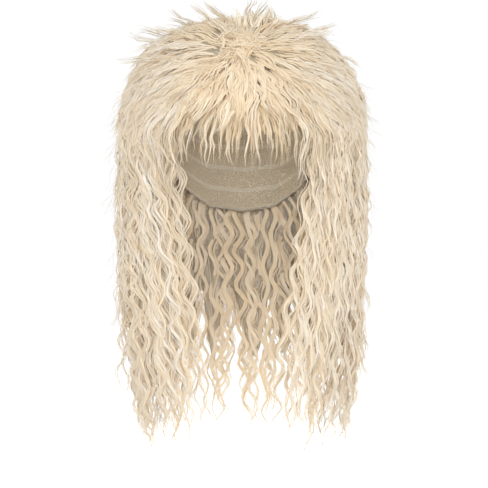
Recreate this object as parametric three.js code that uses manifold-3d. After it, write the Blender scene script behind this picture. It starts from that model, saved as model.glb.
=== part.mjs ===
// Crimped, teased wig: a stretch cap that carries wefts of wavy locks.
// Millimetres, +Z up, the face opening towards -Y.
// The origin is the inner apex of the cap, where the wig sits on the crown of the head.

import * as THREE from "three";
import { mergeVertices } from "three/addons/utils/BufferGeometryUtils.js";
import Module from "manifold-3d";

const wasm = await Module();
wasm.setup();

// Driving sizes

const headSize = { halfWidth: 79, front: 99, back: 100, height: 92, roundness: 2.2 };
const hairSize = { halfWidth: 134, front: 132, back: 146, height: 137, roundness: 2.5 };
const widestZ = -headSize.height; // level of the head's widest section
const capWall = 1.5;
const seatGap = 0.4; // between a weft and what it is sewn to
const whorlTilt = 46; // degrees forward of the apex, where the teased hair radiates from
const domeStations = 3; // stations 0 to 3 run over the dome, the rest down the curtain
const lock = { sides: 4, rootShare: 0.7, fullAt: 0.25, tipShare: 0.14, sharpness: 3.5, waveFrom: 0.3 };
const weldDistance = 1e-3;
const tangentStep = 0.01; // share of a lock's length over which its direction is read
const scatter = { phase: 0.3, phaseStep: 0.13, depth: 0.1 }; // how far the locks of a row differ

// Hair below the widest section, from the temples to the tips. The ring of hair at each
// station runs between its inner and outer half axes, and stays behind the face edge.
const curtain = [
  { z: widestZ, inWidth: 82, inFront: 102, inBack: 103, width: 134, front: 132, back: 146, faceEdge: 48 },
  { z: -175, inWidth: 90, inFront: 86, inBack: 98, width: 136, front: 122, back: 148, faceEdge: 41 },
  { z: -265, inWidth: 93, inFront: 84, inBack: 100, width: 131, front: 118, back: 146, faceEdge: 36 },
  { z: -350, inWidth: 92, inFront: 92, inBack: 100, width: 127, front: 124, back: 138, faceEdge: 32 },
  { z: -432, inWidth: 86, inFront: 98, inBack: 98, width: 113, front: 126, back: 128, faceEdge: 33 },
];

// Edge of the cap, as degrees down from the apex: hairline, temple, ear tab, over the ear, nape
const capEdge = [
  { azimuth: 0, polar: 64 },
  { azimuth: 30, polar: 68 },
  { azimuth: 55, polar: 88 },
  { azimuth: 72, polar: 106 },
  { azimuth: 95, polar: 98 },
  { azimuth: 120, polar: 116 },
  { azimuth: 150, polar: 131 },
  { azimuth: 180, polar: 134 },
];
const nape = { turn: 45, drop: 74, taper: 0.16 }; // per turn below the widest section it drops and closes in
const capSegments = 32;
const capSteps = 7;

// One row for each row of locks sewn on a weft. Stations say where a lock is rooted and ends, in the
// middle and at the two edges of the row. Depths say how far it lies from the cap (0) to the
// outline (1), and halves are half its section.
const lockRows = [
  { weft: "fringe_weft", from: -44, to: 44, locks: 10, steps: 5, root: 1, tip: 3.1, edgeTip: 3.1,
    spread: 0.2, rootDepth: 0.2, depth: 0.24, tipDepth: 0.6, rise: 0.3,
    halfWidth: 9, halfDepth: 6, wave: 3, waves: 1.5 },
  { weft: "crown_weft_front", from: -86, to: 86, locks: 9, steps: 6, root: 0.5, tip: 2.1, edgeTip: 2.9,
    spread: 0.3, rootDepth: 0.6, depth: 0.9, tipDepth: 1.02, rise: 0.3,
    halfWidth: 14, halfDepth: 8, wave: 4, waves: 1.4 },
  { weft: "crown_weft_back", from: 90, to: 270, locks: 7, steps: 6, root: 0.6, tip: 1.8, edgeTip: 1.8,
    spread: 0.25, rootDepth: 0.7, depth: 0.9, tipDepth: 1.02, rise: 0.3,
    halfWidth: 18, halfDepth: 9, wave: 4, waves: 1.3 },
  { weft: "crown_weft_back", from: 90, to: 270, locks: 9, steps: 6, root: 1.45, tip: 2.85, edgeTip: 2.85,
    spread: 0.35, rootDepth: 0.8, depth: 0.93, tipDepth: 1.03, rise: 0.3,
    halfWidth: 19, halfDepth: 8, wave: 5, waves: 1.3 },
  { weft: "left_side_weft", side: -1, to: 110, locks: 6, steps: 12, root: 2.4, tip: 7, edgeTip: 7,
    spread: 0.5, rootDepth: 0.4, depth: 0.78, tipDepth: 0.74, rise: 0.22,
    halfWidth: 15, halfDepth: 13, wave: 6, waves: 3 },
  { weft: "right_side_weft", side: 1, to: 110, locks: 6, steps: 12, root: 2.4, tip: 7, edgeTip: 7,
    spread: 0.45, rootDepth: 0.4, depth: 0.78, tipDepth: 0.74, rise: 0.22,
    halfWidth: 15, halfDepth: 13, wave: 6, waves: 2.9 },
  { weft: "back_weft", from: 112, to: 248, locks: 8, steps: 12, root: 2.4, tip: 6.8, edgeTip: 6.8,
    spread: 0.45, rootDepth: 0.4, depth: 0.78, tipDepth: 0.74, rise: 0.22,
    halfWidth: 18, halfDepth: 13, wave: 6, waves: 3 },
];

// The sewn track and the matted hair behind the locks of each weft, one row for each patch of it.
// Its depths go from those at the track to those at the hem, which is ragged by up to that many stations.
const backings = [
  { weft: "fringe_weft", from: -43, to: 43, top: 0.98, hem: 2.85, ragged: 0.2, across: 7, along: 3,
    topInner: 0.02, hemInner: 0.05, topOuter: 0.2, hemOuter: 0.4 },
  { weft: "crown_weft_front", from: -85, to: 85, top: 0.04, hem: 0.86, ragged: 0, across: 8, along: 2,
    topInner: 0.015, hemInner: 0.015, topOuter: 0.8, hemOuter: 0.8 },
  { weft: "crown_weft_front", from: -85, to: -48, top: 0.8, hem: 2.4, ragged: 0, across: 3, along: 3,
    topInner: 0.03, hemInner: 0.62, topOuter: 0.8, hemOuter: 0.85 },
  { weft: "crown_weft_front", from: 48, to: 85, top: 0.8, hem: 2.4, ragged: 0, across: 3, along: 3,
    topInner: 0.03, hemInner: 0.62, topOuter: 0.8, hemOuter: 0.85 },
  { weft: "crown_weft_back", from: 91, to: 269, top: 0.06, hem: 2.5, ragged: 0.12, across: 10, along: 5,
    topInner: 0.005, hemInner: 0.66, topOuter: 0.8, hemOuter: 0.88 },
  { weft: "left_side_weft", side: -1, to: 109, top: 2.32, hem: 6.4, ragged: 0.6, across: 5, along: 8,
    topInner: 0.012, hemInner: 0.16, topOuter: 0.48, hemOuter: 0.6 },
  { weft: "right_side_weft", side: 1, to: 109, top: 2.32, hem: 6.4, ragged: 0.6, across: 5, along: 8,
    topInner: 0.012, hemInner: 0.16, topOuter: 0.48, hemOuter: 0.6 },
  { weft: "back_weft", from: 113, to: 247, top: 2.32, hem: 6.3, ragged: 0.5, across: 8, along: 8,
    topInner: 0.07, hemInner: 0.16, topOuter: 0.48, hemOuter: 0.6 },
];

// Locks of the tuft on top: where each stands on the crown, which way it leans, and how tall it is
const tuftLocks = [
  { x: -3, y: -60, leanX: -9, leanY: 20, height: 34, halfWidth: 8 },
  { x: 8, y: -64, leanX: 3, leanY: 14, height: 41, halfWidth: 8 },
  { x: 18, y: -58, leanX: 12, leanY: 18, height: 36, halfWidth: 8 },
  { x: 8, y: -50, leanX: 6, leanY: 26, height: 37, halfWidth: 9 },
];
const tuft = { weft: "crown_weft_back", footZ: 14, sway: 3, swayTurn: 5, flatness: 0.8, steps: 5 };

// Small helpers

const radians = THREE.MathUtils.degToRad;
const mix = THREE.MathUtils.lerp;
const ease = THREE.MathUtils.smoothstep;
const traits = { tip: 1, phase: 2, depth: 3, hem: 4 };

// A repeatable number from 0 to 1 for one trait of lock i in a row of a table
function vary(row, i, trait) {
  return THREE.MathUtils.seededRandom(1000 * row + 10 * i + trait);
}

// A smooth curve through one column of a table
function column(rows, key, name) {
  const curve = new THREE.CubicInterpolant(rows.map(key), rows.map((row) => row[name]), 1);
  return (at) => curve.evaluate(at)[0];
}

const ring = Object.fromEntries(
  Object.keys(curtain[0]).map((name) => {
    const stations = curtain.map((row, i) => ({ ...row, station: domeStations + i }));
    return [name, column(stations, (row) => row.station, name)];
  }),
);

// Where a direction from the centre of the widest section meets a rounded dome
function onDome(direction, size) {
  const { x, y, z } = direction;
  const n = size.roundness;
  const reach = (Math.abs(x) ** n + Math.abs(y) ** n + Math.abs(z) ** n) ** (-1 / n);
  const depth = y < 0 ? size.front : size.back;
  return new THREE.Vector3(x * reach * size.halfWidth, y * reach * depth, widestZ + z * reach * size.height);
}

const grown = (size, by) => ({
  ...size,
  halfWidth: size.halfWidth + by,
  front: size.front + by,
  back: size.back + by,
  height: size.height + by,
});

// A place in the hair: station along the flow, azimuth round the head from the face,
// and depth from cap to outline
function inHair(station, azimuth, depth) {
  const a = radians(azimuth);
  if (station <= domeStations) {
    const whorl = new THREE.Vector3(0, -Math.sin(radians(whorlTilt)), Math.cos(radians(whorlTilt)));
    const level = new THREE.Vector3(Math.sin(a), -Math.cos(a), 0);
    const angle = whorl.angleTo(level);
    const t = station / domeStations;
    const direction = whorl
      .multiplyScalar(Math.sin((1 - t) * angle) / Math.sin(angle))
      .addScaledVector(level, Math.sin(t * angle) / Math.sin(angle));
    const inner = onDome(direction, grown(headSize, capWall + seatGap));
    return inner.lerp(onDome(direction, hairSize), depth);
  }
  const forward = Math.cos(a) > 0;
  const width = mix(ring.inWidth(station), ring.width(station), depth);
  const reach = forward
    ? mix(ring.inFront(station), ring.front(station), depth)
    : mix(ring.inBack(station), ring.back(station), depth);
  return new THREE.Vector3(width * Math.sin(a), -reach * Math.cos(a), ring.z(station));
}

// Azimuth at a share of the way across a row, which stays a margin in millimetres inside its edges.
// A side weft runs from the edge of the face opening.
function across(row, station, share, margin = 0) {
  const face = ring.faceEdge(Math.max(station, domeStations));
  const from = row.side < 0 ? -row.to : row.from ?? face;
  const to = row.side < 0 ? -face : row.to;
  const half = (to - from) / 2;
  const perDegree = inHair(station, to - 1, 1).distanceTo(inHair(station, to, 1));
  return from + half + (2 * share - 1) * Math.max(half - margin / perDegree, 0);
}

// Closed solid of a three.js geometry, with its seams welded and its empty triangles dropped
function solid(geometry) {
  geometry.deleteAttribute("normal");
  geometry.deleteAttribute("uv");
  const welded = mergeVertices(geometry, weldDistance);
  const corners = welded.index.array;
  const kept = [];
  for (let i = 0; i < corners.length; i += 3) {
    const [a, b, c] = corners.slice(i, i + 3);
    if (a !== b && b !== c && c !== a) kept.push(a, b, c);
  }
  return new wasm.Manifold(
    new wasm.Mesh({
      numProp: 3,
      vertProperties: welded.attributes.position.array,
      triVerts: new Uint32Array(kept),
    }),
  );
}

// Moves each vertex of a geometry to where place(x, y, z, index) says
function reshape(geometry, place) {
  const at = geometry.attributes.position;
  for (let i = 0; i < at.count; i++) {
    at.setXYZ(i, ...place(at.getX(i), at.getY(i), at.getZ(i), i).toArray());
  }
  return geometry;
}

// Cap

const mirroredEdge = capEdge.slice(1).reverse().map((row) => ({ ...row, azimuth: -row.azimuth }));
const edgePolar = column([...mirroredEdge, ...capEdge], (row) => row.azimuth, "polar");

function onHead(azimuth, polar, offset) {
  const a = radians(azimuth);
  const over = radians(Math.min(polar, 90));
  const level = Math.sin(over);
  const direction = new THREE.Vector3(level * Math.sin(a), -level * Math.cos(a), Math.cos(over));
  const below = Math.max(polar - 90, 0) / nape.turn;
  const closeIn = 1 - nape.taper * below * below;
  const point = onDome(direction, grown(headSize, offset));
  return new THREE.Vector3(point.x * closeIn, point.y * closeIn, point.z - nape.drop * below);
}

// A bowl turned from a thin profile, down the inside from the apex to the edge and back up the outside
function capBowl() {
  const wall = [];
  for (let j = 0; j <= capSteps; j++) wall.push({ share: j / capSteps, offset: 0 });
  for (let j = capSteps; j >= 0; j--) wall.push({ share: j / capSteps, offset: capWall });
  const profile = wall.map(({ share, offset }) => new THREE.Vector2(share, offset));
  return reshape(new THREE.LatheGeometry(profile, capSegments), (x, y, z, i) => {
    const azimuth = (Math.floor(i / wall.length) * 360) / capSegments - 180;
    const { share, offset } = wall[i % wall.length];
    return onHead(azimuth, share * edgePolar(azimuth), offset);
  });
}

// Locks and backings

// Half section of a lock from root to tip, as a share of its full half section
function taper(t) {
  const root = mix(lock.rootShare, 1, ease(t, 0, lock.fullAt));
  return root * mix(1, lock.tipShare, t ** lock.sharpness);
}

// A tapered lock along a path, with its width across the weft and its depth away from the head
function lockAlong(path, sideAt, steps, halfWidth, halfDepth) {
  return reshape(new THREE.CylinderGeometry(1, 1, 1, lock.sides, steps), (x, y, z) => {
    const t = y + 0.5;
    const ahead = path(Math.min(t + tangentStep, 1));
    const tangent = ahead.sub(path(Math.max(t - tangentStep, 0))).normalize();
    const side = sideAt(t);
    side.addScaledVector(tangent, -side.dot(tangent)).normalize();
    const out = side.clone().cross(tangent);
    return path(t)
      .addScaledVector(side, x * halfWidth * taper(t))
      .addScaledVector(out, z * halfDepth * taper(t));
  });
}

function weftLock(row, i) {
  const seed = lockRows.indexOf(row);
  const share = i / (row.locks - 1);
  const longest = mix(row.tip, row.edgeTip, (2 * share - 1) ** 2);
  const tip = longest - row.spread * vary(seed, i, traits.tip);
  const phase = scatter.phase * vary(seed, i, traits.phase) + scatter.phaseStep * i;
  const depth = row.depth + scatter.depth * (vary(seed, i, traits.depth) - 0.5);
  const spot = (t, turn = 0) => {
    const station = mix(row.root, tip, t);
    const azimuth = across(row, station, share, row.halfWidth + row.wave) + turn;
    const risen = mix(row.rootDepth, depth, ease(t, 0, row.rise));
    return inHair(station, azimuth, risen + (row.tipDepth - row.depth) * t * t);
  };
  const sideAt = (t) => spot(t, 1).sub(spot(t, -1)).normalize();
  const path = (t) => {
    const swing = row.wave * ease(t, 0, lock.waveFrom) * Math.sin(2 * Math.PI * (row.waves * t + phase));
    return spot(t).addScaledVector(sideAt(t), swing);
  };
  return lockAlong(path, sideAt, row.steps, row.halfWidth, row.halfDepth);
}

function tuftLock(row) {
  const path = (t) =>
    new THREE.Vector3(
      row.x + row.leanX * t * t + tuft.sway * Math.sin(tuft.swayTurn * t),
      row.y + row.leanY * t,
      tuft.footZ + row.height * t,
    );
  const sideAt = () => new THREE.Vector3(1, 0, 0);
  return lockAlong(path, sideAt, tuft.steps, row.halfWidth, tuft.flatness * row.halfWidth);
}

function backing(patch) {
  const seed = backings.indexOf(patch);
  return reshape(new THREE.BoxGeometry(1, 1, 1, patch.across, patch.along, 1), (x, y, z) => {
    const share = x + 0.5;
    const down = 0.5 - y;
    const hem = patch.hem - patch.ragged * vary(seed, Math.round(share * patch.across), traits.hem);
    const station = mix(patch.top, hem, down);
    const inner = mix(patch.topInner, patch.hemInner, down);
    const outer = mix(patch.topOuter, patch.hemOuter, down);
    return inHair(station, across(patch, station, share), z > 0 ? outer : inner);
  });
}

// Locks fused to their backing
function weft(name) {
  const shapes = backings.filter((patch) => patch.weft === name).map(backing);
  for (const row of lockRows.filter((row) => row.weft === name)) {
    for (let i = 0; i < row.locks; i++) shapes.push(weftLock(row, i));
  }
  if (name === tuft.weft) shapes.push(...tuftLocks.map(tuftLock));
  return shapes.map(solid).reduce((whole, part) => whole.add(part));
}

// Scene graph

const hairFinish = { color: 0xe3cfa6, roughness: 0.55, metalness: 0 };
const capFinish = { color: 0xcdb48c, roughness: 0.85, metalness: 0 };
const wig = new THREE.Group();

function addPiece(name, shape, finish) {
  const { vertProperties, triVerts } = shape.getMesh();
  const geometry = new THREE.BufferGeometry()
    .setAttribute("position", new THREE.BufferAttribute(vertProperties, 3))
    .setIndex(new THREE.BufferAttribute(triVerts, 1));
  geometry.computeVertexNormals();
  const mesh = new THREE.Mesh(geometry, new THREE.MeshStandardMaterial(finish));
  mesh.name = name;
  wig.add(mesh);
}

addPiece("cap", solid(capBowl()), capFinish);
for (const name of new Set(backings.map((patch) => patch.weft))) addPiece(name, weft(name), hairFinish);

export default wig;
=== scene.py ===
import math

import bmesh
import bpy
import numpy as np
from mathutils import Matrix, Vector


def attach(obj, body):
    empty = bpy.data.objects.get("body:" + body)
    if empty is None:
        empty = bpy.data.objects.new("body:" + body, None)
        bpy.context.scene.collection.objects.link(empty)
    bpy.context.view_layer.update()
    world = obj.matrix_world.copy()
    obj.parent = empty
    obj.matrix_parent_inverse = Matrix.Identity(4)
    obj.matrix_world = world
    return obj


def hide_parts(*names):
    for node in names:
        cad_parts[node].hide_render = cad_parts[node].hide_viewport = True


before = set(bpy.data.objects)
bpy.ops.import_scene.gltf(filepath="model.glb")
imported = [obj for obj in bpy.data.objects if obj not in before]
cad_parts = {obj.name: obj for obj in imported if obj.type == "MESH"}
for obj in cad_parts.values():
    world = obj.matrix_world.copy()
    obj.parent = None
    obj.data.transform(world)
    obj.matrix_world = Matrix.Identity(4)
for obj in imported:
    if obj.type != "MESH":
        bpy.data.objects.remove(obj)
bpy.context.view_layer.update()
print("frame loaded with", len(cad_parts), "nodes")

# Flow of the hair, in metres and degrees, at the sizes of the solids
headSize = {"halfWidth": 0.079, "front": 0.099, "back": 0.100, "height": 0.092, "roundness": 2.2}
hairSize = {"halfWidth": 0.134, "front": 0.132, "back": 0.146, "height": 0.137, "roundness": 2.5}
widestZ = -headSize["height"]
flow = {"whorlTilt": 46, "domeStations": 3, "seat": 0.0019, "turnStep": 0.4, "depthStep": 0.05}
curtain = {  # one value for each station, from the widest section down to the tips
    "z": [widestZ, -0.175, -0.265, -0.350, -0.432],
    "inWidth": [0.082, 0.090, 0.093, 0.092, 0.086],
    "inFront": [0.102, 0.086, 0.084, 0.092, 0.098],
    "inBack": [0.103, 0.098, 0.100, 0.100, 0.098],
    "width": [0.134, 0.136, 0.131, 0.127, 0.113],
    "front": [0.132, 0.122, 0.118, 0.124, 0.126],
    "back": [0.146, 0.148, 0.146, 0.138, 0.128],
    "faceEdge": [48, 41, 36, 32, 33],
}
seeds = {"left": 11, "right": 12, "back": 21, "crownFront": 31, "crownBack": 32, "tuft": 35, "fringe": 41}
tilt = math.radians(flow["whorlTilt"])
whorl = np.array([0, -math.sin(tilt), math.cos(tilt)])


def ease(t, low, high):
    s = np.clip((t - low) / (high - low), 0, 1)
    return s * s * (3 - 2 * s)


def unit(v):
    return v / np.maximum(np.linalg.norm(v, axis=-1, keepdims=True), 1e-9)


def ring(name, station):  # smooth curve down one column of the curtain
    values = np.array(curtain[name], float)
    ends = np.concatenate([[2 * values[0] - values[1]], values, [2 * values[-1] - values[-2]]])
    at = np.clip(np.asarray(station, float) - flow["domeStations"], 0, len(values) - 1)
    low = np.minimum(at.astype(int), len(values) - 2)
    t = at - low
    a, b, c, d = (ends[low + i] for i in range(4))
    return b + 0.5 * t * (c - a + t * (2 * a - 5 * b + 4 * c - d + t * (3 * (b - c) + d - a)))


def onDome(direction, size, grow=0.0):
    n = size["roundness"]
    reach = (np.abs(direction) ** n).sum(-1) ** (-1 / n)
    depth = np.where(direction[..., 1] < 0, size["front"], size["back"]) + grow
    x = direction[..., 0] * reach * (size["halfWidth"] + grow)
    z = widestZ + direction[..., 2] * reach * (size["height"] + grow)
    return np.stack([x, direction[..., 1] * reach * depth, z], -1)


def levelAt(azimuth):
    a = np.radians(azimuth)
    return np.stack([np.sin(a), -np.cos(a), np.zeros_like(a)], -1)


def whorlAngle(azimuth):  # from the whorl down to the widest section
    return np.arccos(np.clip(levelAt(azimuth) @ whorl, -1, 1))


def inTop(direction, depth):
    inner = onDome(direction, headSize, flow["seat"])
    return inner + (onDome(direction, hairSize) - inner) * depth[..., None]


def inHair(station, azimuth, depth):  # depth 0 lies on the cap, 1 on the outline
    station, azimuth, depth = np.broadcast_arrays(station, azimuth, depth)
    angle = whorlAngle(azimuth)[..., None]
    t = np.clip(station / flow["domeStations"], 0, 1)[..., None]
    direction = (np.sin((1 - t) * angle) * whorl + np.sin(t * angle) * levelAt(azimuth)) / np.sin(angle)
    dome = inTop(direction, depth)
    a = np.radians(azimuth)
    ends = [ring("in" + name.title(), station) * (1 - depth) + ring(name, station) * depth
            for name in ("width", "front", "back")]
    reach = np.where(np.cos(a) > 0, ends[1], ends[2])
    fall = np.stack([ends[0] * np.sin(a), -reach * np.cos(a), ring("z", station)], -1)
    return np.where((station <= flow["domeStations"])[..., None], dome, fall)


def across(row, station, share):  # azimuth at a share of the way across a weft
    if "side" not in row:
        low, high = row["azimuth"]
        return low + (high - low) * share
    face = ring("faceEdge", station)
    return row["side"] * (face + (row["to"] - face) * share)


def flowAxes(station, azimuth, depth):  # across the hair and away from the cap
    turn, rise = flow["turnStep"], flow["depthStep"]
    aside = inHair(station, azimuth + turn, depth) - inHair(station, azimuth - turn, depth)
    out = inHair(station, azimuth, depth + rise) - inHair(station, azimuth, depth - rise)
    return unit(aside), unit(out)


# Shader groups that more than one finish uses
def newGroup(name, inputs, outputs):
    group = bpy.data.node_groups.new(name, "ShaderNodeTree")
    for socket, kind in inputs:
        group.interface.new_socket(socket, in_out="INPUT", socket_type="NodeSocket" + kind)
    for socket, kind in outputs:
        group.interface.new_socket(socket, in_out="OUTPUT", socket_type="NodeSocket" + kind)
    start, end = group.nodes.new("NodeGroupInput"), group.nodes.new("NodeGroupOutput")
    return group.nodes, group.links, start, end, group


def addMath(nodes, links, operation, *values):
    node = nodes.new("ShaderNodeMath")
    node.operation = operation
    for socket, value in zip(node.inputs, values):
        if isinstance(value, (int, float)):
            socket.default_value = value
        else:
            links.new(value, socket)
    return node.outputs["Value"]


streakLook = {
    "detail": 4.0, "roughness": 0.62, "swayScale": 0.9, "distortion": 0.25, "dark": 0.34, "light": 0.66}


def makeFibreStreaks():  # light and dark fibres along the flow
    nodes, links, start, end, group = newGroup(
        "fibreStreaks", [("Flow", "Vector"), ("Across", "Float"), ("Along", "Float"), ("Sway", "Float")],
        [("Streak", "Float")])
    split = nodes.new("ShaderNodeSeparateXYZ")
    links.new(start.outputs["Flow"], split.inputs["Vector"])
    swayNoise = nodes.new("ShaderNodeTexNoise")
    swayNoise.inputs["Scale"].default_value = streakLook["swayScale"]
    links.new(start.outputs["Flow"], swayNoise.inputs["Vector"])
    offset = addMath(nodes, links, "SUBTRACT", swayNoise.outputs["Fac"], 0.5)
    bent = addMath(nodes, links, "MULTIPLY_ADD", offset, start.outputs["Sway"], split.outputs["X"])
    fibre = addMath(nodes, links, "MULTIPLY", bent, start.outputs["Across"])
    run = addMath(nodes, links, "MULTIPLY", split.outputs["Y"], start.outputs["Along"])
    place = nodes.new("ShaderNodeCombineXYZ")
    links.new(fibre, place.inputs["X"])
    links.new(run, place.inputs["Y"])
    noise = nodes.new("ShaderNodeTexNoise")
    noise.inputs["Scale"].default_value = 1.0
    noise.inputs["Detail"].default_value = streakLook["detail"]
    noise.inputs["Roughness"].default_value = streakLook["roughness"]
    noise.inputs["Distortion"].default_value = streakLook["distortion"]
    links.new(place.outputs["Vector"], noise.inputs["Vector"])
    spread = nodes.new("ShaderNodeMapRange")
    spread.inputs["From Min"].default_value = streakLook["dark"]
    spread.inputs["From Max"].default_value = streakLook["light"]
    links.new(noise.outputs["Fac"], spread.inputs["Value"])
    links.new(spread.outputs["Result"], end.inputs["Streak"])
    return group


tintLook = {
    "ramp": [  # position and colour, from the darkest fibres to the palest
        (0.0, (0.78, 0.62, 0.41)), (0.35, (0.89, 0.755, 0.56)),
        (0.65, (0.935, 0.825, 0.66)), (1.0, (0.98, 0.94, 0.87))],
    # the warm tint below is the hair's own warmth, laid on more strongly at the middle of the wig as painted
    # warm light bounced from the face
    "tipPart": 0.04, "warmAndBounceTint": (1.0, 0.93, 0.80), "dry": 0.68, "silky": 0.5}


def makeHairTint():  # colour of a fibre from its tone, paler towards its tip, with a warm tint that is partly painted bounce light
    nodes, links, start, end, group = newGroup(
        "hairTint", [(name, "Float") for name in ("Tone", "Along", "Streak", "Contrast", "WarmAndBounce")],
        [("Colour", "Color"), ("Roughness", "Float")])
    streak = addMath(nodes, links, "SUBTRACT", start.outputs["Streak"], 0.5)
    level = addMath(nodes, links, "MULTIPLY_ADD", streak, start.outputs["Contrast"], start.outputs["Tone"])
    tip = addMath(nodes, links, "SUBTRACT", start.outputs["Along"], 0.5)
    level = addMath(nodes, links, "MULTIPLY_ADD", tip, tintLook["tipPart"], level)
    ramp = nodes.new("ShaderNodeValToRGB")
    stops = ramp.color_ramp.elements
    for stop, (position, colour) in zip(stops, (tintLook["ramp"][0], tintLook["ramp"][-1])):
        stop.position = position
        stop.color = (*colour, 1)
    for position, colour in tintLook["ramp"][1:-1]:
        stops.new(position).color = (*colour, 1)
    links.new(level, ramp.inputs["Fac"])
    # warm tint: the hair's own warmth everywhere, more of it at the middle as painted bounce light from the
    # face, less at the sides as painted light falloff
    warmAndBounce = nodes.new("ShaderNodeMix")
    warmAndBounce.data_type = "RGBA"
    warmAndBounce.blend_type = "MULTIPLY"
    links.new(start.outputs["WarmAndBounce"], warmAndBounce.inputs["Factor"])
    links.new(ramp.outputs["Color"], warmAndBounce.inputs["A"])
    warmAndBounce.inputs["B"].default_value = (*tintLook["warmAndBounceTint"], 1)
    rough = nodes.new("ShaderNodeMapRange")
    rough.inputs["To Min"].default_value = tintLook["dry"]
    rough.inputs["To Max"].default_value = tintLook["silky"]
    links.new(level, rough.inputs["Value"])
    links.new(warmAndBounce.outputs["Result"], end.inputs["Colour"])
    links.new(rough.outputs["Result"], end.inputs["Roughness"])
    return group


bounceFadeLook = {"middle": 0.025, "side": 0.095}  # distances from the middle plane over which the painted warm bounce light fades towards the sides


def makeSideFade():  # from a value at the middle of the wig to another at its sides; it spreads the painted warm bounce light
    nodes, links, start, end, group = newGroup(
        "sideFade", [("Place", "Vector"), ("Middle", "Float"), ("Side", "Float")], [("Value", "Float")])
    split = nodes.new("ShaderNodeSeparateXYZ")
    links.new(start.outputs["Place"], split.inputs["Vector"])
    fade = nodes.new("ShaderNodeMapRange")
    fade.interpolation_type = "SMOOTHSTEP"
    fade.inputs["From Min"].default_value = bounceFadeLook["middle"]
    fade.inputs["From Max"].default_value = bounceFadeLook["side"]
    links.new(addMath(nodes, links, "ABSOLUTE", split.outputs["X"]), fade.inputs["Value"])
    links.new(start.outputs["Middle"], fade.inputs["To Min"])
    links.new(start.outputs["Side"], fade.inputs["To Max"])
    links.new(fade.outputs["Result"], end.inputs["Value"])
    return group


fibreStreaks = makeFibreStreaks()
sideFade = makeSideFade()
hairTint = makeHairTint()


def newMaterial(name):
    material = bpy.data.materials.new(name)
    material.use_nodes = True
    nodes = material.node_tree.nodes
    return material, nodes, material.node_tree.links, nodes["Principled BSDF"]


def placeGroup(nodes, group, **values):
    node = nodes.new("ShaderNodeGroup")
    node.node_tree = group
    for socket, value in values.items():
        node.inputs[socket].default_value = value
    return node


def readAttribute(nodes, name):
    node = nodes.new("ShaderNodeAttribute")
    node.attribute_name = name
    return node


def finishPiece(piece, material, slot, *replaced):
    piece.data.materials.append(material)
    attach(piece, "root")
    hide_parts(*replaced)
    mesh = piece.data
    mesh.calc_loop_triangles()
    print(piece.name, "made with", len(mesh.loop_triangles), "triangles")


# Strands are closed tapered tubes. Each lock is one broad core with finer strands round it.
strandLook = {
    "sides": 3, "coreFlat": 0.36, "strandFlat": 0.8, "softTurn": (-0.3, 0.3), "toneColumns": 64,
    "toneEnd": 0.001, "columnFill": 0.8, "mapEdge": 0.02, "endAcross": (0.3, 0.7, 0.5),
    "endAlong": (0.3, 0.3, 0.7)}
strandScatter = {  # how far the strands of a lock differ
    "tip": (0, 0.25), "beat": (-0.06, 0.06), "swing": (0.8, 1.15), "bob": (0.7, 1.2), "frizz": (0.2, 1.3),
    "reach": (0.1, 1), "half": (0.75, 1.25), "tone": (-0.07, 0.07)}
lockShape = {
    "radiusAt": [0, 0.4, 1], "taperAt": [0, 0.15, 0.55, 0.85, 1], "outward": 0.7, "frizzTurn": 1.3,
    "calmTurn": 1}
beats = [(0.6, 1.1, 0.1), (0.25, 3.3, 0.4)]  # size, turns across a weft, and start


def drawers(layer, rng):
    locks, strands = layer["locks"], layer["strands"]

    def perLock(key):
        return np.repeat(rng.uniform(*layer[key], locks), strands)[:, None]

    def perStrand(low, high):
        return rng.uniform(low, high, locks * strands)[:, None]

    return perLock, perStrand


def smoothPath(path, rounds):  # evens out the bend where the dome turns into the curtain
    for _ in range(rounds):
        path = np.concatenate(
            [path[:, :1], (path[:, :-2] + 2 * path[:, 1:-1] + path[:, 2:]) / 4, path[:, -1:]], 1)
    return path


def crimpBeat(share):  # waves drift slowly out of step across a weft
    return sum(size * np.sin(2 * np.pi * (turns * share + start)) for size, turns, start in beats)


def lockFlow(layer, rng):  # where the middle of each strand's lock runs
    locks, strands, steps = layer["locks"], layer["strands"], layer["steps"]
    perLock, perStrand = drawers(layer, rng)
    t = np.linspace(0, 1, steps + 1)[None, :]
    if "roots" in layer:
        root, azimuth = (np.repeat(values, strands)[:, None] for values in layer["roots"])
        pace = whorlAngle(azimuth) * hairSize["height"] / flow["domeStations"]
    else:
        root = perLock("root")
        share = (rng.permutation(locks) + rng.uniform(0, 1, locks)) / locks
        share = np.repeat(np.interp(share, [0, 1], layer["spread"]), strands)[:, None]
        pace = layer["pace"]
    tip = root + perLock("length") * perStrand(*layer["uneven"]) / pace
    if "lowest" in layer:
        tip = np.minimum(tip, layer["lowest"] - perStrand(*strandScatter["tip"]))
    station = root + (tip - root) * t
    if "roots" not in layer:
        azimuth = across(layer, station, share)
    rootDepth = perLock("rootDepth")
    depth = rootDepth + (perLock("depth") - rootDepth) * ease(t, 0, layer["rise"])
    depth = depth + perLock("lift") * t ** 2
    base = smoothPath(inHair(station, azimuth, depth), layer["smooth"])
    beat = perLock("phase")
    if "crimp" in layer:
        beat = crimpBeat(share) + root * pace / layer["crimp"] + layer["stray"] * (beat - 0.5)
    return base, *flowAxes(station, azimuth, depth), beat


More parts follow.
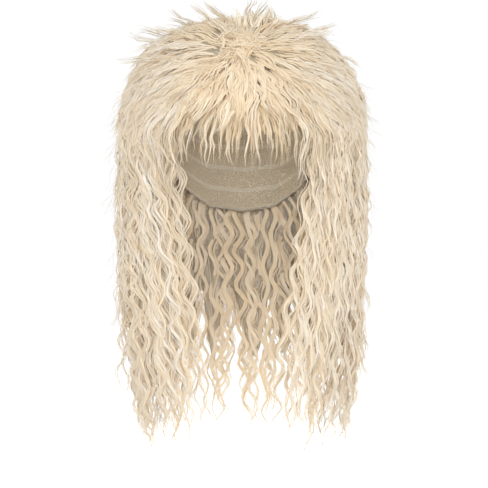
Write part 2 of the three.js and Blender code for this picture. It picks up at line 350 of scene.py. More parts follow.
def waveLocks(layer, rng, base, aside, out, beat):  # waves the locks and spreads their strands
    locks, strands = layer["locks"], layer["strands"]
    perLock, perStrand = drawers(layer, rng)
    t = np.linspace(0, 1, base.shape[1])[None, :]
    run = np.cumsum(np.linalg.norm(np.diff(base, axis=1), axis=-1), axis=1)
    run = np.concatenate([np.zeros((len(base), 1)), run], 1)
    core = (np.arange(locks * strands) % strands == 0)[:, None]
    grow = ease(t, 0, layer["settle"])
    drift = 2 * np.pi * (run / layer["driftPeriod"] + perLock("phase"))
    turn = 2 * np.pi * (run / perLock("period") + beat + perStrand(*strandScatter["beat"]))
    turn = turn + layer["drift"] * np.sin(drift)
    grow = grow * (1 - layer["calm"] * np.sin(drift + lockShape["calmTurn"]) ** 2)
    swing = perLock("wave") * perStrand(*strandScatter["swing"]) * grow * np.sin(turn)
    bob = perLock("bob") * perStrand(*strandScatter["bob"]) * grow * np.sin(turn + layer["bobTurn"])
    frizzTurn = 2 * np.pi * (run / layer["frizzPeriod"] + perStrand(0, 1))
    frizz = layer["frizz"] * perStrand(*strandScatter["frizz"]) * grow
    spot = perStrand(0, 2 * np.pi) + layer["twist"] * t
    reach = np.sqrt(perStrand(*strandScatter["reach"])) * np.interp(t, lockShape["radiusAt"], layer["radius"])
    reach = np.where(core, 0, reach)
    sideways = swing + perLock("veer") * run + perLock("lean") * t ** 2
    sideways = sideways + reach * np.cos(spot) + frizz * np.sin(frizzTurn)
    outwards = bob + lockShape["outward"] * reach * np.sin(spot)
    outwards = outwards + frizz * np.cos(lockShape["frizzTurn"] * frizzTurn)
    path = base + aside * sideways[..., None] + out * outwards[..., None]
    half = np.where(core, layer["coreHalf"], layer["strandHalf"]) * perStrand(*strandScatter["half"])
    thick = half * np.interp(t, lockShape["taperAt"], layer["taper"])
    flat = np.where(core, strandLook["coreFlat"], strandLook["strandFlat"])
    tone = np.clip(perLock("tone") + perStrand(*strandScatter["tone"]), 0, 1)[:, 0]
    return path, aside, thick, flat, tone, layer["soften"] * out


def strandTubes(path, aside, thick, flat):  # rings of points along each strand, and the normals there
    tangent = unit(np.gradient(path, axis=1))
    first = unit(aside - tangent * (aside * tangent).sum(-1, keepdims=True))
    second = np.cross(tangent, first)
    sides = strandLook["sides"]
    angle = np.pi / 2 + 2 * np.pi * np.arange(sides)[:, None] / sides
    wide, deep = first[:, :, None] * np.cos(angle), second[:, :, None] * np.sin(angle)
    flat = flat[:, :, None, None]
    points = path[:, :, None] + thick[:, :, None, None] * (wide + deep * flat)
    return points, unit(wide * flat + deep)


def softNormals(normals, lean):  # corners of the faces that look the way of the lean turn towards it
    turned = np.roll(normals, -1, 2)
    facing = (unit(normals + turned) * unit(lean)[:, :, None]).sum(-1, keepdims=True)
    lean = lean[:, :, None] * ease(facing, *strandLook["softTurn"])
    left, right = unit(normals + lean), unit(turned + lean)
    return np.stack([left[:, :-1], right[:, :-1], right[:, 1:], left[:, 1:]], -2)


def strandMaps(tone, rings):  # one map column for each tone, root to tip upwards
    sides, columns, edge = strandLook["sides"], strandLook["toneColumns"], strandLook["mapEdge"]
    column = np.floor(tone * (columns - strandLook["toneEnd"]))[:, None, None]
    width = strandLook["columnFill"] / sides
    left = (column + (1 - strandLook["columnFill"]) / 2 + width * np.arange(sides)) / columns
    right = left + width / columns
    along = edge + (1 - 2 * edge) * np.linspace(0, 1, rings)
    low, high = along[:-1, None], along[1:, None]
    shape = (len(tone), rings - 1, sides)
    corners = [(left, low), (right, low), (right, high), (left, high)]
    corners = [[np.broadcast_to(value, shape) for value in corner] for corner in corners]
    sideMap = np.stack([np.stack(corner, -1) for corner in corners], -2)
    middle = (column[:, 0] + np.array(strandLook["endAcross"])) / columns
    end = edge * np.array(strandLook["endAlong"])
    rootMap = np.stack([middle, np.broadcast_to(end, middle.shape)], -1)
    tipMap = np.stack([middle, np.broadcast_to(1 - edge + end, middle.shape)], -1)
    return sideMap.reshape(-1, 2), np.concatenate([rootMap, tipMap]).reshape(-1, 2)


def strandMesh(name, bundles):  # joins the tubes of all the locks in one mesh from arrays
    points, quads, ends, sideMaps, endMaps, sideNormals, endNormals = [], [], [], [], [], [], []
    count = 0
    for path, aside, thick, flat, tone, lean in bundles:
        tubes, tubeNormals = strandTubes(path, aside, thick, flat)
        index = count + np.arange(tubes[..., 0].size).reshape(tubes.shape[:3])
        turned = np.roll(index, -1, 2)
        corners = [index[:, :-1], turned[:, :-1], turned[:, 1:], index[:, 1:]]
        quads.append(np.stack(corners, -1).reshape(-1, 4))
        ends.append(np.concatenate([index[:, 0, ::-1], index[:, -1]]))
        points.append(tubes.reshape(-1, 3))
        sideNormals.append(softNormals(tubeNormals, lean).reshape(-1, 3))
        endNormals.append(np.concatenate([tubeNormals[:, 0, ::-1], tubeNormals[:, -1]]).reshape(-1, 3))
        sideMap, endMap = strandMaps(tone, path.shape[1])
        sideMaps.append(sideMap)
        endMaps.append(endMap)
        count += index.size
    points, quads, ends = (np.concatenate(rows) for rows in (points, quads, ends))
    maps = np.concatenate(sideMaps + endMaps).astype(np.float32).ravel()
    mesh = bpy.data.meshes.new(name)
    mesh.vertices.add(len(points))
    mesh.vertices.foreach_set("co", points.astype(np.float32).ravel())
    mesh.loops.add(quads.size + ends.size)
    mesh.loops.foreach_set("vertex_index", np.concatenate([quads.ravel(), ends.ravel()]).astype(np.int32))
    mesh.polygons.add(len(quads) + len(ends))
    endStarts = quads.size + np.arange(0, ends.size, ends.shape[1])
    starts = np.concatenate([np.arange(0, quads.size, quads.shape[1]), endStarts])
    mesh.polygons.foreach_set("loop_start", starts.astype(np.int32))
    mesh.polygons.foreach_set("use_smooth", np.ones(len(starts), bool))
    mesh.update(calc_edges=True)
    for mapName in ("OFBake", "strandFlow"):
        mesh.uv_layers.new(name=mapName).data.foreach_set("uv", maps)
    mesh.validate()
    mesh.normals_split_custom_set(np.concatenate(sideNormals + endNormals))
    piece = bpy.data.objects.new(name, mesh)
    bpy.context.collection.objects.link(piece)
    return piece


def locksOf(layer, rng):
    return waveLocks(layer, rng, *lockFlow(layer, rng))


# Hair finishes: where they read the flow, its part that runs to the tips, and their streaks
strandFinish = {
    "flow": "strandFlow", "tip": "Y", "across": 14.0 * strandLook["toneColumns"], "along": 6.0, "sway": 0.0,
    "contrast": 0.6, "bump": 0.35, "bumpDepth": 0.0005, "specular": 0.25}
# the undercoat's fixed tone is paler than most locks: painted fill light that lifts the shade seen in the
# gaps between the locks
coatFinish = {
    "flow": "coatFlow", "tip": "Z", "across": 6.0, "along": 1.1, "sway": 1.6, "tone": 0.72, "contrast": 0.6,
    "bump": 0.9, "bumpDepth": 0.003, "specular": 0.25}


def makeHairMaterial(name, look, middle, side):  # warm tint at the middle and at the sides: the hair's own warmth, with more at the middle as painted warm light bounced from the face and less at the sides as painted light falloff
    material, nodes, links, shader = newMaterial(name)
    along = readAttribute(nodes, look["flow"]).outputs["Vector"]
    split = nodes.new("ShaderNodeSeparateXYZ")
    links.new(along, split.inputs["Vector"])
    streaks = placeGroup(nodes, fibreStreaks, Across=look["across"], Along=look["along"], Sway=look["sway"])
    links.new(along, streaks.inputs["Flow"])
    place = nodes.new("ShaderNodeTexCoord")
    fade = placeGroup(nodes, sideFade, Middle=middle, Side=side)
    links.new(place.outputs["Object"], fade.inputs["Place"])
    tint = placeGroup(nodes, hairTint, Contrast=look["contrast"])
    if "tone" in look:
        tint.inputs["Tone"].default_value = look["tone"]
    else:
        links.new(split.outputs["X"], tint.inputs["Tone"])
    links.new(split.outputs[look["tip"]], tint.inputs["Along"])
    links.new(streaks.outputs["Streak"], tint.inputs["Streak"])
    links.new(fade.outputs["Value"], tint.inputs["WarmAndBounce"])
    links.new(tint.outputs["Colour"], shader.inputs["Base Color"])
    links.new(tint.outputs["Roughness"], shader.inputs["Roughness"])
    relief = nodes.new("ShaderNodeBump")
    relief.inputs["Strength"].default_value = look["bump"]
    relief.inputs["Distance"].default_value = look["bumpDepth"]
    links.new(streaks.outputs["Streak"], relief.inputs["Height"])
    links.new(relief.outputs["Normal"], shader.inputs["Normal"])
    shader.inputs["Specular IOR Level"].default_value = look["specular"]
    return material


# warm tints at the middle and at the sides: stronger at the middle as painted warm bounce light from the
# face, weaker at the sides as painted light falloff
fallStrands = makeHairMaterial("fallStrands", strandFinish, middle=0.3, side=0.25)
crownStrands = makeHairMaterial("crownStrands", strandFinish, middle=0.8, side=0.3)
fallCoat = makeHairMaterial("fallCoat", coatFinish, middle=0.3, side=0.3)
crownCoat = makeHairMaterial("crownCoat", coatFinish, middle=0.8, side=0.4)
print("hair finishes ready")

# Undercoats are the dense hair below the loose locks, down to a ragged hem
coatShape = {
    "tongueSway": 0.2, "tongueTurns": 3, "swayTurns": 2, "ridgeTurns": 5, "ridgeFrom": (0.1, 0.4),
    "innerRelief": 0.3, "thinnest": 0.02, "flowAcross": 2, "flowAlong": 1.6}
equator = -1e-4  # on a folded sphere, points above this lie outside


def coatPlaces(coat, share, t, outer):  # where a point of an undercoat lies, and its place along the hair
    lap = coatShape["tongueSway"] * np.sin(2 * np.pi * coatShape["tongueTurns"] * share)
    tongue = 0.5 + 0.5 * np.sin(2 * np.pi * (coat["tongues"] * share + lap))
    hem = coat["hem"] - coat["ragged"] * (1 - tongue)
    if "frontRise" in coat:
        turned = np.abs(across(coat, coat["top"], share))
        hem = hem - coat["frontRise"] * (1 - ease(turned, *coat["frontTurn"]))
    station = coat["top"] + (hem - coat["top"]) * t
    azimuth = across(coat, station, coat.get("inset", 0) * (1 - share) + share)
    sway = coat["sway"] * np.sin(2 * np.pi * (coat["waves"] * t + coatShape["swayTurns"] * share))
    ridge = np.sin(2 * np.pi * (coat["ridges"] * share + sway))
    ridge = ridge * np.sin(2 * np.pi * (coat["waves"] * t + coatShape["ridgeTurns"] * share))
    ridge = ridge * ease(t, *coatShape["ridgeFrom"])
    closed = ease(1 - t, 0, coat["hemEdge"])
    if not coat.get("whole"):
        closed = closed * ease(t, 0, coat["topEdge"])
        closed = closed * ease(np.minimum(share, 1 - share), 0, coat["sideEdge"])
    middle = coat["inner"] + (coat["outer"] - coat["inner"]) * coat["edgeDepth"]
    if outer:
        surface = coat["outer"] + coat["relief"] * ridge
    else:
        surface = coat["inner"] - coatShape["innerRelief"] * coat["relief"] * ridge
    depth = middle + (surface - middle) * np.maximum(closed, coatShape["thinnest"])
    flowX = coat["ridges"] * share * coatShape["flowAcross"] + sway
    flowY = coat["waves"] * t * coatShape["flowAlong"]
    return inHair(station, azimuth, depth), np.stack([flowX, flowY, t], -1)


def layCoat(body, coat, verts, share, t, outer):
    layer = body.verts.layers.float_vector["coatFlow"]
    places, flows = coatPlaces(coat, share, t, outer)
    for vert, place, along in zip(verts, places, flows):
        vert.co = place
        vert[layer] = along


def bodyPiece(name, body):
    mesh = bpy.data.meshes.new(name)
    body.to_mesh(mesh)
    body.free()
    mesh.polygons.foreach_set("use_smooth", np.ones(len(mesh.polygons), bool))
    piece = bpy.data.objects.new(name, mesh)
    bpy.context.collection.objects.link(piece)
    return piece


def curtainCoat(name, coat):  # a grid laid on the flow, and extruded towards the cap
    body = bmesh.new()
    bmesh.ops.create_grid(body, x_segments=coat["across"], y_segments=coat["along"], size=0.5)
    body.verts.layers.float_vector.new("coatFlow")
    outer = list(body.verts)
    spots = np.array([vert.co[:2] for vert in outer]) + 0.5
    grown = bmesh.ops.extrude_face_region(body, geom=list(body.faces), use_keep_orig=True)
    inner = [item for item in grown["geom"] if isinstance(item, bmesh.types.BMVert)]
    innerSpots = np.array([vert.co[:2] for vert in inner]) + 0.5
    layCoat(body, coat, outer, *spots.T, True)
    layCoat(body, coat, inner, *innerSpots.T, False)
    bmesh.ops.recalc_face_normals(body, faces=list(body.faces))
    return bodyPiece(name, body)


def bowlCoat(name, coat):  # a sphere folded in on itself, with its upper half outside
    body = bmesh.new()
    bmesh.ops.create_uvsphere(body, u_segments=coat["across"], v_segments=2 * coat["along"], radius=1)
    body.verts.layers.float_vector.new("coatFlow")
    for outer in (True, False):
        verts = [vert for vert in body.verts if (vert.co.z > equator) == outer]
        co = np.array([vert.co for vert in verts])
        share = np.arctan2(co[:, 0], -co[:, 1]) / (2 * np.pi) + 0.5
        t = 2 * np.arccos(np.clip(np.abs(co[:, 2]), 0, 1)) / np.pi
        layCoat(body, coat, verts, share, t, outer)
    bmesh.ops.recalc_face_normals(body, faces=list(body.faces))
    return bodyPiece(name, body)


# Side falls: long waved locks, thinner ones inside and along the opening, and short crimped layers over them
longFall = {
    "locks": 37, "strands": 6, "steps": 64, "to": 112, "spread": (0, 1), "root": (2.1, 2.7),
    "length": (0.33, 0.46), "pace": 0.085, "lowest": 7.0, "uneven": (0.86, 1.0), "rootDepth": (0.6, 0.75),
    "depth": (0.82, 1.0), "lift": (-0.5, 0.22), "rise": 0.2, "smooth": 14, "settle": 0.2, "drift": 0.5,
    "driftPeriod": 0.13, "calm": 0.35, "phase": (0, 1), "crimp": 0.041, "stray": 0.6,
    "period": (0.037, 0.045), "bobTurn": 1.9, "wave": (0.0042, 0.0068), "bob": (0.003, 0.0056),
    "lean": (-0.014, 0.014), "veer": (0, 0), "frizz": 0.0006, "frizzPeriod": 0.026,
    "radius": [0.007, 0.006, 0.0022], "twist": 2.0, "coreHalf": 0.003, "strandHalf": 0.0008,
    "taper": [0.5, 1, 0.85, 0.65, 0.1], "tone": (0.4, 0.84), "soften": 1.8}
innerFall = dict(
    longFall, locks=10, strands=4, steps=56, spread=(0.2, 1), root=(2.4, 2.8), rootDepth=(0.1, 0.2),
    depth=(0.05, 0.25), lift=(-0.05, 0.1), soften=-1.8)
edgeFall = dict(
    longFall, locks=20, strands=5, steps=56, spread=(-0.1, 0.14), root=(1.9, 2.6), length=(0.32, 0.45),
    rootDepth=(0.4, 0.6), depth=(0.5, 0.95), lift=(-0.1, 0.05), wave=(0.003, 0.0055), stray=1.0,
    coreHalf=0.0022)
middleFall = dict(
    longFall, locks=26, strands=5, steps=26, root=(1.0, 2.5), length=(0.12, 0.20), rootDepth=(0.78, 0.86),
    depth=(0.92, 1.0), lift=(-0.02, 0.04), wave=(0.0025, 0.005), bob=(0.002, 0.004))
shortFall = dict(
    longFall, locks=64, strands=4, steps=16, root=(2.3, 4.6), length=(0.07, 0.13), rootDepth=(0.78, 0.88),
    depth=(0.92, 1.02), lift=(0.0, 0.1), period=(0.038, 0.044), wave=(0.002, 0.005), bob=(0.002, 0.0045),
    frizz=0.0007, frizzPeriod=0.024, radius=[0.0055, 0.005, 0.0015], coreHalf=0.0026, strandHalf=0.0007,
    tone=(0.5, 0.85))
flickFall = dict(
    shortFall, locks=8, strands=3, steps=20, spread=(0.4, 0.8), root=(4.0, 5.2), length=(0.06, 0.10),
    depth=(0.95, 1.0), lift=(0.15, 0.42), coreHalf=0.0012)
edgeCurl = dict(
    shortFall, locks=5, strands=3, steps=22, spread=(-0.08, 0.04), root=(3.2, 4.4), length=(0.08, 0.12),
    depth=(0.7, 0.9), period=(0.06, 0.075), wave=(0.006, 0.010), radius=[0.001, 0.003, 0.001],
    coreHalf=0.0009)
fallWisp = dict(
    shortFall, locks=90, strands=1, steps=12, root=(1.6, 5.2), length=(0.03, 0.07), depth=(0.96, 1.04),
    lift=(0.1, 0.36), coreHalf=0.0007, tone=(0.65, 0.95), lean=(-0.015, 0.015))
fallUndercoat = {
    "across": 40, "along": 64, "to": 130, "top": 1.9, "hem": 5.8, "ragged": 1.0, "tongues": 6, "ridges": 7,
    "waves": 9, "sway": 0.3, "relief": 0.05, "inner": 0.25, "outer": 0.9, "edgeDepth": 0.5, "topEdge": 0.12,
    "hemEdge": 0.2, "sideEdge": 0.13, "inset": 0.03}

fallLayers = (longFall, edgeFall, innerFall, middleFall, shortFall, flickFall, edgeCurl, fallWisp)
for label, side in (("left", -1), ("right", 1)):
    rng = np.random.default_rng(seeds[label])
    node = label + "_side_weft"
    locks = strandMesh(label + "_fall_locks", [locksOf(dict(row, side=side), rng) for row in fallLayers])
    finishPiece(locks, fallStrands, "hair", node)
    coat = curtainCoat(label + "_fall_undercoat", dict(fallUndercoat, side=side))
    finishPiece(coat, fallCoat, "hair", node)

# Back hair: the falls' layers across the back
backSweep = {"azimuth": (108, 252)}
longBack = dict(longFall, **backSweep, locks=56, strands=4, steps=54, length=(0.25, 0.38), lowest=6.85)
innerBack = dict(innerFall, **backSweep, spread=(0, 1), locks=32, strands=3, steps=50, lowest=6.8)
middleBack = dict(middleFall, **backSweep, locks=46, strands=3)
shortBack = dict(shortFall, **backSweep, locks=78, strands=3, root=(1.7, 4.6))
backWisp = dict(fallWisp, **backSweep)
backUndercoat = dict(
    fallUndercoat, azimuth=(96, 264), across=64, along=58, tongues=9, ridges=13, sideEdge=0.1, inset=0)

backLayers = (longBack, innerBack, middleBack, shortBack, backWisp)
rng = np.random.default_rng(seeds["back"])
locks = strandMesh("back_locks", [locksOf(row, rng) for row in backLayers])
finishPiece(locks, fallStrands, "hair", "back_weft")
finishPiece(curtainCoat("back_undercoat", backUndercoat), fallCoat, "hair", "back_weft")

# Crown: short teased locks that leave the whorl on all sides
crown = {"fringeHalf": 44, "fringeRoot": 1.5, "ragged": 0.7, "raggedStep": 0.618}


def crownRoots(count, front, last):  # evenly over the upper half of a sphere
    i = np.arange(count) + 0.5
    z = 1 - i / count
    turn = np.pi * (1 + 5 ** 0.5) * i
    level = np.sqrt(1 - z * z)
    direction = np.stack([level * np.cos(turn), level * np.sin(turn), z], -1)
    sweep = direction * whorl[2] - whorl * z[:, None]
    azimuth = np.degrees(np.arctan2(sweep[:, 0], -sweep[:, 1]))
    station = flow["domeStations"] * np.arccos(np.clip(direction @ whorl, -1, 1)) / whorlAngle(azimuth)
    kept = (np.abs(azimuth) < 90) == front
    kept &= (np.abs(azimuth) > crown["fringeHalf"]) | (station < crown["fringeRoot"])
    kept &= station < last - crown["ragged"] * (i * crown["raggedStep"] % 1)
    return station[kept], azimuth[kept]


def whorlFlow(layer, rng):  # locks that start on one side of the whorl and lie across it
    perLock, perStrand = drawers(layer, rng)
    t = np.linspace(0, 1, layer["steps"] + 1)[None, :]
    turn = perLock("phase") * 2 * np.pi
    heading = turn + np.radians(perLock("heading"))
    reach = perLock("length") * perStrand(*layer["uneven"]) / hairSize["height"] * t
    right, up = np.array([1.0, 0, 0]), np.cross([1.0, 0, 0], whorl)
    spot = [-perLock("start") * trig(turn) + reach * trig(heading) for trig in (np.cos, np.sin)]
    direction = unit(whorl + spot[0][..., None] * right + spot[1][..., None] * up)
    depth = perLock("rootDepth") + (perLock("depth") - perLock("rootDepth")) * ease(t, 0, layer["rise"])
    depth = depth + perLock("lift") * t ** 2
    base = inTop(direction, depth)
    out = unit(inTop(direction, depth + flow["depthStep"]) - base)
    return base, unit(np.cross(out, np.gradient(base, axis=1))), out, perLock("phase")


crownLock = {
    "strands": 8, "steps": 7, "spread": (0, 1), "length": (0.03, 0.055), "uneven": (0.8, 1.0),
    "rootDepth": (0.78, 0.86), "depth": (0.93, 0.99), "lift": (-0.02, 0.07), "rise": 0.45, "smooth": 2,
    "settle": 0.3, "drift": 0.8, "driftPeriod": 0.05, "calm": 0.4, "phase": (0, 1), "bobTurn": 1.9,
    "period": (0.03, 0.055), "wave": (0.0014, 0.004), "bob": (0.0006, 0.002), "lean": (-0.01, 0.01),
    "veer": (-0.5, 0.5), "frizz": 0.0005, "frizzPeriod": 0.02, "radius": [0.0045, 0.0048, 0.0034],
    "twist": 1.0, "coreHalf": 0.0022, "strandHalf": 0.0008, "taper": [0.6, 1, 0.8, 0.4, 0.03],
    "tone": (0.55, 0.82), "soften": 1.8}
backLock = dict(
    crownLock, strands=4, steps=8, length=(0.05, 0.085), veer=(-0.32, 0.32), coreHalf=0.0036,
    strandHalf=0.0009)
topLock = dict(crownLock, strands=6)
crownWisp = dict(
    crownLock, strands=1, steps=10, depth=(0.95, 1.0), lift=(0.06, 0.24), lean=(-0.02, 0.02),
    coreHalf=0.0006, wave=(0.001, 0.003), tone=(0.6, 1.0))
crownFlick = dict(
    crownLock, strands=7, steps=9, length=(0.045, 0.075), lift=(0.12, 0.28), lean=(-0.012, 0.012),
    coreHalf=0.0016, strandHalf=0.0007, radius=[0.003, 0.004, 0.006], taper=[0.6, 1, 0.9, 0.6, 0.03],
    tone=(0.65, 0.95), soften=1.2)
topFlick = dict(
    crownFlick, length=(0.03, 0.048), lift=(0.3, 0.55), period=(0.028, 0.045), wave=(0.0015, 0.004))
whorlLock = dict(
    crownLock, locks=76, strands=6, lift=(0.0, 0.1), veer=(-0.3, 0.3), start=(0.0, 0.25), heading=(-30, 30),
    depth=(0.9, 0.96))
crownUndercoat = {
    "across": 112, "along": 30, "whole": True, "azimuth": (-180, 180), "top": 0, "hem": 3.2, "ragged": 0.2,
    "tongues": 26, "ridges": 30, "waves": 3, "sway": 0.4, "relief": 0.02, "inner": 0.4, "outer": 0.925,
    "edgeDepth": 0.4, "hemEdge": 0.22, "frontRise": 1.1, "frontTurn": (45, 75)}

crownLayers = {  # roots over the whole upper half, and the station of the last of them
    "front": [(crownLock, 2300, 2.9), (crownWisp, 180, 2.9), (crownFlick, 80, 2.4)],
    "back": [(backLock, 920, 2.9), (topLock, 1080, 1.4), (crownWisp, 330, 2.9), (crownFlick, 60, 2.4),
             (topFlick, 120, 1.25)],
}
for label, front in (("front", True), ("back", False)):
    rng = np.random.default_rng(seeds["crown" + label.title()])
    bundles = []
    for row, count, last in crownLayers[label]:
        roots = crownRoots(count, front, last)
        bundles.append(locksOf(dict(row, roots=roots, locks=len(roots[0])), rng))
    if front:
        bundles.append(waveLocks(whorlLock, rng, *whorlFlow(whorlLock, rng)))
    locks = strandMesh("crown_" + label + "_locks", bundles)
    finishPiece(locks, crownStrands, "hair", "crown_weft_" + label)
coat = bowlCoat("crown_undercoat", crownUndercoat)
finishPiece(coat, crownCoat, "hair", "crown_weft_front", "crown_weft_back")

# Tuft that stands up on top, leaning back; its tone near the palest is painted light that lifts the shade on
# its spikes
tuft = dict(
    crownLock, locks=36, strands=5, steps=10, footZ=0.008, spread=0.009, tall=(0.7, 1.0),
    out=(0, -0.6, 0.8), lean=(-0.008, 0.008), radius=[0.004, 0.004, 0.003], tone=(0.9, 1.0),
    wave=(0.001, 0.003), soften=1.2,
    rows=[  # x, y, lean across, lean back, height
        (-0.003, -0.060, -0.009, 0.020, 0.040), (0.008, -0.064, 0.003, 0.014, 0.046),
        (0.018, -0.058, 0.012, 0.018, 0.042), (0.008, -0.050, 0.006, 0.026, 0.043)])


def tuftFlow(layer, rng):
    rows = np.array(layer["rows"])[np.arange(layer["locks"]) % len(layer["rows"])]
    rows[:, :2] += rng.uniform(-layer["spread"], layer["spread"], (layer["locks"], 2))
    rows[:, 4] *= rng.uniform(*layer["tall"], layer["locks"])
    x, y, leanX, leanY, height = np.repeat(rows, layer["strands"], 0).T[:, :, None]
    t = np.linspace(0, 1, layer["steps"] + 1)[None, :]
    base = np.stack([x + leanX * t ** 2, y + leanY * t ** 2, layer["footZ"] + height * t], -1)
    aside, out = (np.broadcast_to(axis, base.shape) for axis in ([1.0, 0, 0], layer["out"]))
    return base, aside, out, rng.uniform(0, 1, len(base))[:, None]


rng = np.random.default_rng(seeds["tuft"])
locks = strandMesh("crown_tuft", [waveLocks(tuft, rng, *tuftFlow(tuft, rng))])
finishPiece(locks, crownStrands, "hair", "crown_weft_back")

# Fringe: thin pointed locks over the front, and fuller ones at both its ends
fringeLock = dict(
    crownLock, locks=114, strands=6, steps=12, azimuth=(-50, 50), root=(0.7, 1.8), length=(0.05, 0.082),
    pace=0.036, lowest=3.4, rootDepth=(0.4, 0.6), depth=(0.4, 0.85), lift=(-0.2, 0.1), lean=(-0.009, 0.009),
    veer=(-0.12, 0.12), coreHalf=0.0017, strandHalf=0.0005, radius=[0.005, 0.0035, 0.0006],
    wave=(0.001, 0.0025), tone=(0.35, 0.85))
templeLock = dict(
    fringeLock, locks=26, root=(1.0, 2.2), length=(0.06, 0.095), rootDepth=(0.7, 0.85), depth=(0.75, 0.98),
    lowest=3.7, coreHalf=0.0022, strandHalf=0.0007, radius=[0.005, 0.004, 0.002])
fringeUndercoat = dict(
    fallUndercoat, azimuth=(-58, 58), across=64, along=24, top=0.8, hem=3.1, frontRise=1.15,
    frontTurn=(28, 46), ragged=0.4, tongues=11, ridges=14, waves=2, inner=0.12, outer=0.55, relief=0.06,
    topEdge=0.2, sideEdge=0.1, hemEdge=0.5, inset=0)

fringeLayers = (fringeLock, dict(templeLock, azimuth=(-54, -33)), dict(templeLock, azimuth=(33, 54)))
rng = np.random.default_rng(seeds["fringe"])
locks = strandMesh("fringe_locks", [locksOf(row, rng) for row in fringeLayers])
finishPiece(locks, crownStrands, "hair", "fringe_weft")
finishPiece(curtainCoat("fringe_undercoat", fringeUndercoat), crownCoat, "hair", "fringe_weft")

# Cap: stretch net with the rows that the wefts are sewn to
cap = {
    "edge": [  # degrees round from the front, and down from the apex
        (0, 64), (30, 68), (55, 88), (72, 106), (95, 98), (120, 116), (150, 131), (180, 134)],
    "wall": 0.0015, "napeTurn": 45, "napeDrop": 0.074, "napeTaper": 0.16, "across": 72, "along": 36,
    "rows": 9, "rowHeight": 0.0006, "rowSharpness": 3, "rowFrom": 0.08, "band": 0.93, "bandEdge": 0.02,
    "bandHeight": 0.0008, "insideShare": 0.8}


def onHead(azimuth, polar, offset):
    over = np.radians(np.minimum(polar, 90))[:, None]
    direction = levelAt(azimuth) * np.sin(over)
    direction[:, 2] = np.cos(over[:, 0])
    below = np.maximum(polar - 90, 0) / cap["napeTurn"]
    point = onDome(direction, headSize)
    point = point + unit(point - [0, 0, widestZ]) * offset[:, None]
    point[:, :2] *= (1 - cap["napeTaper"] * below ** 2)[:, None]
    point[:, 2] -= cap["napeDrop"] * below
    return point


def makeCap():  # a sphere folded in on itself, with its upper half outside
    body = bmesh.new()
    bmesh.ops.create_uvsphere(body, u_segments=cap["across"], v_segments=2 * cap["along"], radius=1)
    layer = body.verts.layers.float_vector.new("capFlow")
    co = np.array([vert.co for vert in body.verts])
    azimuth = np.degrees(np.arctan2(co[:, 0], -co[:, 1]))
    t = 2 * np.arccos(np.clip(np.abs(co[:, 2]), 0, 1)) / np.pi
    polar = t * np.interp(np.abs(azimuth), *np.array(cap["edge"], float).T)
    stitchRow = np.maximum(np.cos(2 * np.pi * cap["rows"] * t), 0) ** cap["rowSharpness"] * cap["rowHeight"]
    band = ease(t, cap["band"], cap["band"] + cap["bandEdge"]) * cap["bandHeight"]
    inside = np.maximum(stitchRow * (t > cap["rowFrom"]), band)
    offset = np.where(co[:, 2] > equator, cap["wall"], inside * cap["insideShare"])
    for vert, place, angle, along in zip(body.verts, onHead(azimuth, polar, offset), azimuth, t):
        vert.co = place
        vert[layer] = (angle / 360, along, 0)
    bmesh.ops.recalc_face_normals(body, faces=list(body.faces))
    return bodyPiece("cap_shell", body)


netLook = {
    "thread": (0.86, 0.77, 0.61), "gap": (0.70, 0.60, 0.45), "row": (0.92, 0.85, 0.71), "scale": 520.0,
    "threadEdge": (0.06, 0.28), "rowEdge": (0.7, 0.9), "bump": 0.0008, "roughness": 0.85}


def makeNetMaterial():
    material, nodes, links, shader = newMaterial("capNet")
    place = nodes.new("ShaderNodeTexCoord")
    mesh = nodes.new("ShaderNodeTexVoronoi")
    mesh.feature = "DISTANCE_TO_EDGE"
    mesh.inputs["Scale"].default_value = netLook["scale"]
    links.new(place.outputs["Object"], mesh.inputs["Vector"])
    thread = nodes.new("ShaderNodeMapRange")
    thread.inputs["From Min"].default_value = netLook["threadEdge"][0]
    thread.inputs["From Max"].default_value = netLook["threadEdge"][1]
    thread.inputs["To Min"].default_value = 1.0
    thread.inputs["To Max"].default_value = 0.0
    links.new(mesh.outputs["Distance"], thread.inputs["Value"])
    rows = readAttribute(nodes, "capFlow")
    split = nodes.new("ShaderNodeSeparateXYZ")
    links.new(rows.outputs["Vector"], split.inputs["Vector"])
    turn = addMath(nodes, links, "MULTIPLY", split.outputs["Y"], 2 * math.pi * cap["rows"])
    onRow = nodes.new("ShaderNodeMapRange")
    onRow.inputs["From Min"].default_value = netLook["rowEdge"][0]
    onRow.inputs["From Max"].default_value = netLook["rowEdge"][1]
    links.new(addMath(nodes, links, "COSINE", turn), onRow.inputs["Value"])
    net = nodes.new("ShaderNodeMix")
    net.data_type = "RGBA"
    net.inputs["A"].default_value = (*netLook["gap"], 1)
    net.inputs["B"].default_value = (*netLook["thread"], 1)
    links.new(thread.outputs["Result"], net.inputs["Factor"])
    sewn = nodes.new("ShaderNodeMix")
    sewn.data_type = "RGBA"
    sewn.inputs["B"].default_value = (*netLook["row"], 1)
    links.new(net.outputs["Result"], sewn.inputs["A"])
    links.new(onRow.outputs["Result"], sewn.inputs["Factor"])
    links.new(sewn.outputs["Result"], shader.inputs["Base Color"])
    relief = nodes.new("ShaderNodeBump")
    relief.inputs["Distance"].default_value = netLook["bump"]
    links.new(thread.outputs["Result"], relief.inputs["Height"])
    links.new(relief.outputs["Normal"], shader.inputs["Normal"])
    shader.inputs["Roughness"].default_value = netLook["roughness"]
    return material


finishPiece(makeCap(), makeNetMaterial(), "cap_net", "cap")

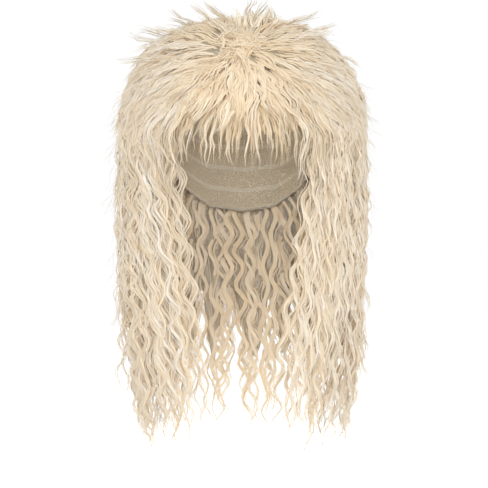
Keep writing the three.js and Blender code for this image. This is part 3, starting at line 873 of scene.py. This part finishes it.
# Studio: pale floor, soft light from all round, camera straight from the front
studio = {
    "floorZ": -0.62, "floorSize": 8.0, "floorTint": (0.97, 0.97, 0.97), "floorRoughness": 0.9,
    "floorGlow": 0.85, "floorLight": 0.3, "sky": 0.36, "bounces": 12, "distance": 2.2, "field": 0.537,
    "aimX": 0.002, "aimZ": -0.201, "sensor": 36}
lamps = {  # place, size and power
    "frontLight": ((0.0, -2.45, 0.05), 0.3, 18.5),
    "topLight": ((0.0, -1.1, 1.7), 1.4, 18),
    "leftLight": ((-2.3, 0.2, 0.2), 1.6, 10),
    "rightLight": ((2.3, 0.2, 0.2), 1.6, 10),
    "backLight": ((0.0, 2.4, 0.2), 1.2, 20),
}


def makeFloor():  # glows more for the camera than as a light
    body = bmesh.new()
    bmesh.ops.create_grid(body, x_segments=1, y_segments=1, size=studio["floorSize"])
    bmesh.ops.translate(body, vec=(0, 0, studio["floorZ"]), verts=body.verts)
    floor = bodyPiece("floor", body)
    material, nodes, links, shader = newMaterial("paleFloor")
    shader.inputs["Base Color"].default_value = (*studio["floorTint"], 1)
    shader.inputs["Roughness"].default_value = studio["floorRoughness"]
    shader.inputs["Emission Color"].default_value = (1, 1, 1, 1)
    seen = nodes.new("ShaderNodeLightPath").outputs["Is Camera Ray"]
    glow = addMath(nodes, links, "MULTIPLY", seen, studio["floorGlow"])
    glow = addMath(nodes, links, "MAXIMUM", glow, studio["floorLight"])
    links.new(glow, shader.inputs["Emission Strength"])
    floor.data.materials.append(material)


def makeStudio():
    scene = bpy.context.scene
    world = bpy.data.worlds.new("studioWorld")
    world.use_nodes = True
    sky = world.node_tree.nodes["Background"]
    sky.inputs["Color"].default_value = (1, 1, 1, 1)
    seen = world.node_tree.nodes.new("ShaderNodeLightPath").outputs["Is Camera Ray"]
    strength = addMath(world.node_tree.nodes, world.node_tree.links, "MAXIMUM", seen, studio["sky"])
    world.node_tree.links.new(strength, sky.inputs["Strength"])
    scene.world = world
    scene.view_settings.view_transform = "Standard"
    scene.cycles.max_bounces = studio["bounces"]
    scene.cycles.diffuse_bounces = studio["bounces"]
    aim = Vector((studio["aimX"], 0, studio["aimZ"]))
    for name, (place, size, power) in lamps.items():
        light = bpy.data.lights.new(name, "AREA")
        light.size = size
        light.energy = power
        lamp = bpy.data.objects.new(name, light)
        lamp.location = place
        lamp.rotation_euler = (aim - Vector(place)).to_track_quat("-Z", "Y").to_euler()
        bpy.context.collection.objects.link(lamp)
    camera = bpy.data.objects.new("camera", bpy.data.cameras.new("camera"))
    camera.data.sensor_width = studio["sensor"]
    camera.data.lens = studio["sensor"] * studio["distance"] / studio["field"]
    camera.location = aim - Vector((0, studio["distance"], 0))
    camera.rotation_euler = (math.pi / 2, 0, 0)
    bpy.context.collection.objects.link(camera)
    scene.camera = camera


makeFloor()
makeStudio()
print("studio ready")
